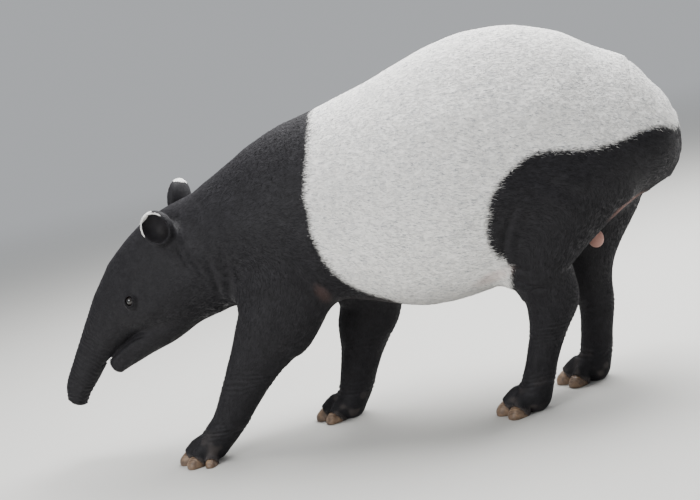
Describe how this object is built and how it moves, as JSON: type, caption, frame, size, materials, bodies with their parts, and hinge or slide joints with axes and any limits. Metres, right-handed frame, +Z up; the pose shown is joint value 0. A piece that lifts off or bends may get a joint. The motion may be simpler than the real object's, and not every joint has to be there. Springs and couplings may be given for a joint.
{
  "type": "malayan tapir",
  "caption": "Still life-size adult Malayan tapir walking with its head lowered: long drooping snout, round ears, pale saddle, toed feet.",
  "frame": {"origin": "the middle of the bounding box's bottom, on the ground that the feet stand on", "axes": "-X the way the snout points, +Z up, -Y the animal's left side"},
  "size_m": [1.9398, 0.5946, 1.06],
  "materials": {
    "black_coat": "short black hair lying flat",
    "white_coat": "short greyish white hair lying flat",
    "hoof": "dull brown horn",
    "eye": "wet dark brown"
  },
  "bodies": {
    "root": {"torso": "white_coat", "tail": "black_coat", "neck": "black_coat", "ear_left": "black_coat", "ear_right": "black_coat", "lower_jaw": "black_coat", "snout": "black_coat", "head": "black_coat", "eye_left": "eye", "eye_right": "eye", "fore_leg_left": "black_coat", "fore_foot_left": "black_coat", "fore_hoof_left_1": "hoof", "fore_hoof_left_2": "hoof", "fore_hoof_left_3": "hoof", "fore_hoof_left_4": "hoof", "fore_leg_right": "black_coat", "fore_foot_right": "black_coat", "fore_hoof_right_1": "hoof", "fore_hoof_right_2": "hoof", "fore_hoof_right_3": "hoof", "fore_hoof_right_4": "hoof", "hind_leg_left": "black_coat", "hind_foot_left": "black_coat", "hind_hoof_left_1": "hoof", "hind_hoof_left_2": "hoof", "hind_hoof_left_3": "hoof", "hind_leg_right": "black_coat", "hind_foot_right": "black_coat", "hind_hoof_right_1": "hoof", "hind_hoof_right_2": "hoof", "hind_hoof_right_3": "hoof"}
  },
  "joints": []
}
